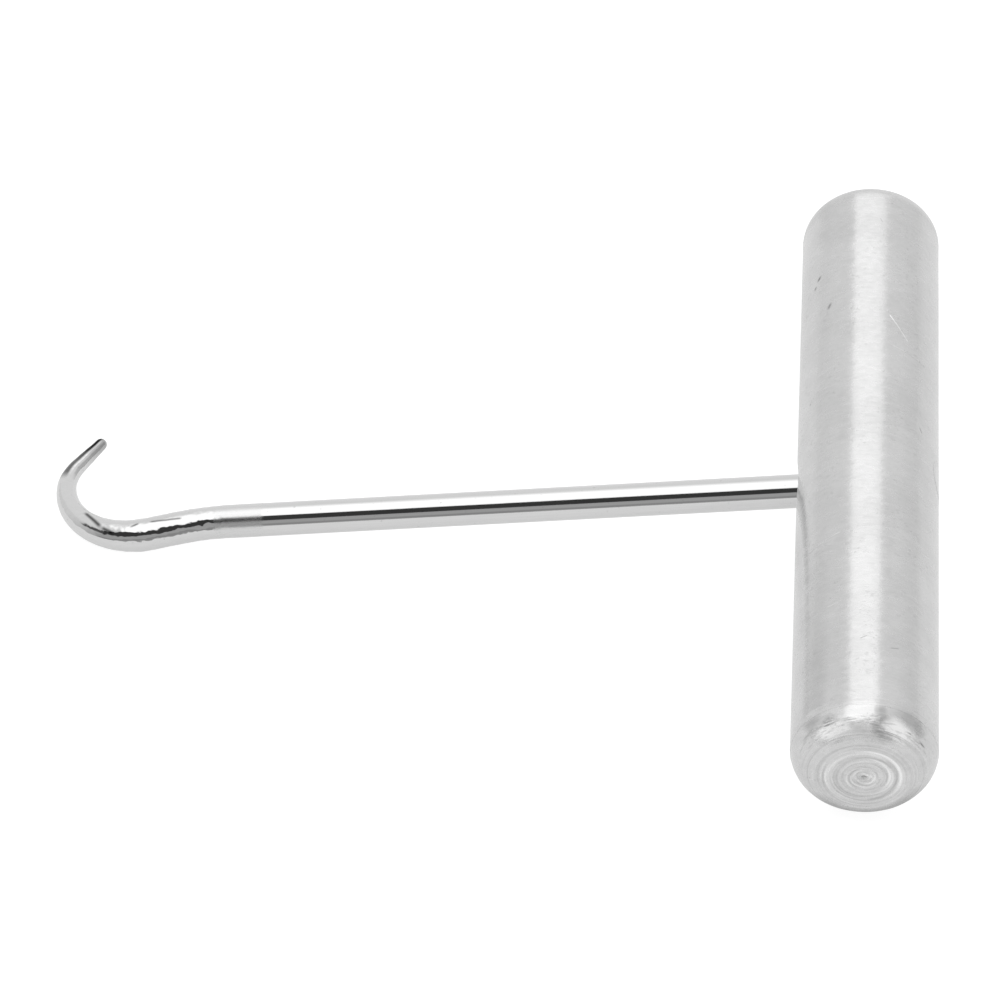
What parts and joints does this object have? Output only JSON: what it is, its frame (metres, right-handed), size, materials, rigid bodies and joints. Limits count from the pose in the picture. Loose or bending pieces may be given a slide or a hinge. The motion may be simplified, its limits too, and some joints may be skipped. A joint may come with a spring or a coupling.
{
  "type": "t-handle hook",
  "caption": "T-handle hand hook: a round capped tube as the grip, with a slim steel rod from its middle that is cranked and curled into a tapered open hook for pulling.",
  "frame": {"origin": "where the rod's axis crosses the handle's axis, at the middle of the grip", "axes": "+Y along the handle, -X along the rod from the handle to the hook, +Z square to the flat T; the hook opens towards +Y"},
  "size_m": [0.1598, 0.137, 0.025],
  "materials": {
    "brushed_handle": "satin, brushed around the handle",
    "turned_cap": "satin, turned rings on the end face",
    "ground_weld": "ground flush and brushed",
    "polished_rod": "mirror polished"
  },
  "bodies": {
    "root": {"handle_tube": "brushed_handle", "near_end_cap": "turned_cap", "far_end_cap": "turned_cap", "near_seam_weld": "ground_weld", "far_seam_weld": "ground_weld", "hook_rod": "polished_rod", "tail_plug_weld": "ground_weld"}
  },
  "joints": []
}
